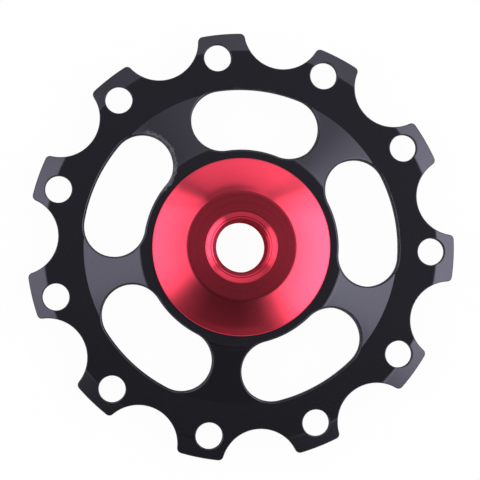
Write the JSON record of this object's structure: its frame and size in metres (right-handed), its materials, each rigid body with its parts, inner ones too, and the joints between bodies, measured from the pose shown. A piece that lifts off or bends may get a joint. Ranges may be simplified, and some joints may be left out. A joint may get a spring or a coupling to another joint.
{
  "type": "derailleur jockey wheel",
  "caption": "Toothed chain guide wheel with a slotted black web, red end caps and a sealed ball bearing on a hollow axle seat.",
  "frame": {"origin": "on the axle at the wheel's middle plane", "axes": "+Z along the axle towards the front cap, as the picture looks at it; +X to the picture's right; +Y up in it"},
  "size_m": [0.0434, 0.0435, 0.008],
  "materials": {
    "black_anodised": "gloss black anodised, turned",
    "red_anodised": "bright red anodised, turned",
    "bearing_steel": "ground",
    "ball_steel": "polished",
    "cage_steel": "pressed sheet",
    "seal_rubber": "matt"
  },
  "bodies": {
    "axle_parts": {"front_cap": "red_anodised", "rear_cap": "red_anodised", "bearing_inner_ring": "bearing_steel"},
    "wheel": {"toothed_wheel": "black_anodised", "bearing_outer_ring": "bearing_steel", "front_seal": "seal_rubber", "rear_seal": "seal_rubber"},
    "ball_cage": {"cage_front_half": "cage_steel", "cage_rear_half": "cage_steel"},
    "ball_01": {"bearing_ball_01": "ball_steel"},
    "ball_02": {"bearing_ball_02": "ball_steel"},
    "ball_03": {"bearing_ball_03": "ball_steel"},
    "ball_04": {"bearing_ball_04": "ball_steel"},
    "ball_05": {"bearing_ball_05": "ball_steel"},
    "ball_06": {"bearing_ball_06": "ball_steel"},
    "ball_07": {"bearing_ball_07": "ball_steel"},
    "ball_08": {"bearing_ball_08": "ball_steel"},
    "ball_09": {"bearing_ball_09": "ball_steel"},
    "ball_10": {"bearing_ball_10": "ball_steel"}
  },
  "joints": [
    {"name": "wheel_spin", "type": "hinge", "parent": "axle_parts", "child": "wheel", "pos_m": [0, 0, 0], "axis": [0, 0, 1], "continuous": true},
    {"name": "cage_spin", "type": "hinge", "parent": "axle_parts", "child": "ball_cage", "pos_m": [0, 0, 0], "axis": [0, 0, 1], "continuous": true},
    {"name": "ball_01_spin", "type": "hinge", "parent": "ball_cage", "child": "ball_01", "pos_m": [0.006, 0, 0], "axis": [0, 0, 1], "continuous": true},
    {"name": "ball_02_spin", "type": "hinge", "parent": "ball_cage", "child": "ball_02", "pos_m": [0.00485, 0.00353, 0], "axis": [0, 0, 1], "continuous": true},
    {"name": "ball_03_spin", "type": "hinge", "parent": "ball_cage", "child": "ball_03", "pos_m": [0.00185, 0.00571, 0], "axis": [0, 0, 1], "continuous": true},
    {"name": "ball_04_spin", "type": "hinge", "parent": "ball_cage", "child": "ball_04", "pos_m": [-0.00185, 0.00571, 0], "axis": [0, 0, 1], "continuous": true},
    {"name": "ball_05_spin", "type": "hinge", "parent": "ball_cage", "child": "ball_05", "pos_m": [-0.00485, 0.00353, 0], "axis": [0, 0, 1], "continuous": true},
    {"name": "ball_06_spin", "type": "hinge", "parent": "ball_cage", "child": "ball_06", "pos_m": [-0.006, 0, 0], "axis": [0, 0, 1], "continuous": true},
    {"name": "ball_07_spin", "type": "hinge", "parent": "ball_cage", "child": "ball_07", "pos_m": [-0.00485, -0.00353, 0], "axis": [0, 0, 1], "continuous": true},
    {"name": "ball_08_spin", "type": "hinge", "parent": "ball_cage", "child": "ball_08", "pos_m": [-0.00185, -0.00571, 0], "axis": [0, 0, 1], "continuous": true},
    {"name": "ball_09_spin", "type": "hinge", "parent": "ball_cage", "child": "ball_09", "pos_m": [0.00185, -0.00571, 0], "axis": [0, 0, 1], "continuous": true},
    {"name": "ball_10_spin", "type": "hinge", "parent": "ball_cage", "child": "ball_10", "pos_m": [0.00485, -0.00353, 0], "axis": [0, 0, 1], "continuous": true}
  ],
  "couplings": [
    {"joint": "cage_spin", "follows": "wheel_spin", "ratio": 0.58333},
    {"joint": "ball_01_spin", "follows": "wheel_spin", "ratio": 2.9167},
    {"joint": "ball_02_spin", "follows": "wheel_spin", "ratio": 2.9167},
    {"joint": "ball_03_spin", "follows": "wheel_spin", "ratio": 2.9167},
    {"joint": "ball_04_spin", "follows": "wheel_spin", "ratio": 2.9167},
    {"joint": "ball_05_spin", "follows": "wheel_spin", "ratio": 2.9167},
    {"joint": "ball_06_spin", "follows": "wheel_spin", "ratio": 2.9167},
    {"joint": "ball_07_spin", "follows": "wheel_spin", "ratio": 2.9167},
    {"joint": "ball_08_spin", "follows": "wheel_spin", "ratio": 2.9167},
    {"joint": "ball_09_spin", "follows": "wheel_spin", "ratio": 2.9167},
    {"joint": "ball_10_spin", "follows": "wheel_spin", "ratio": 2.9167}
  ]
}
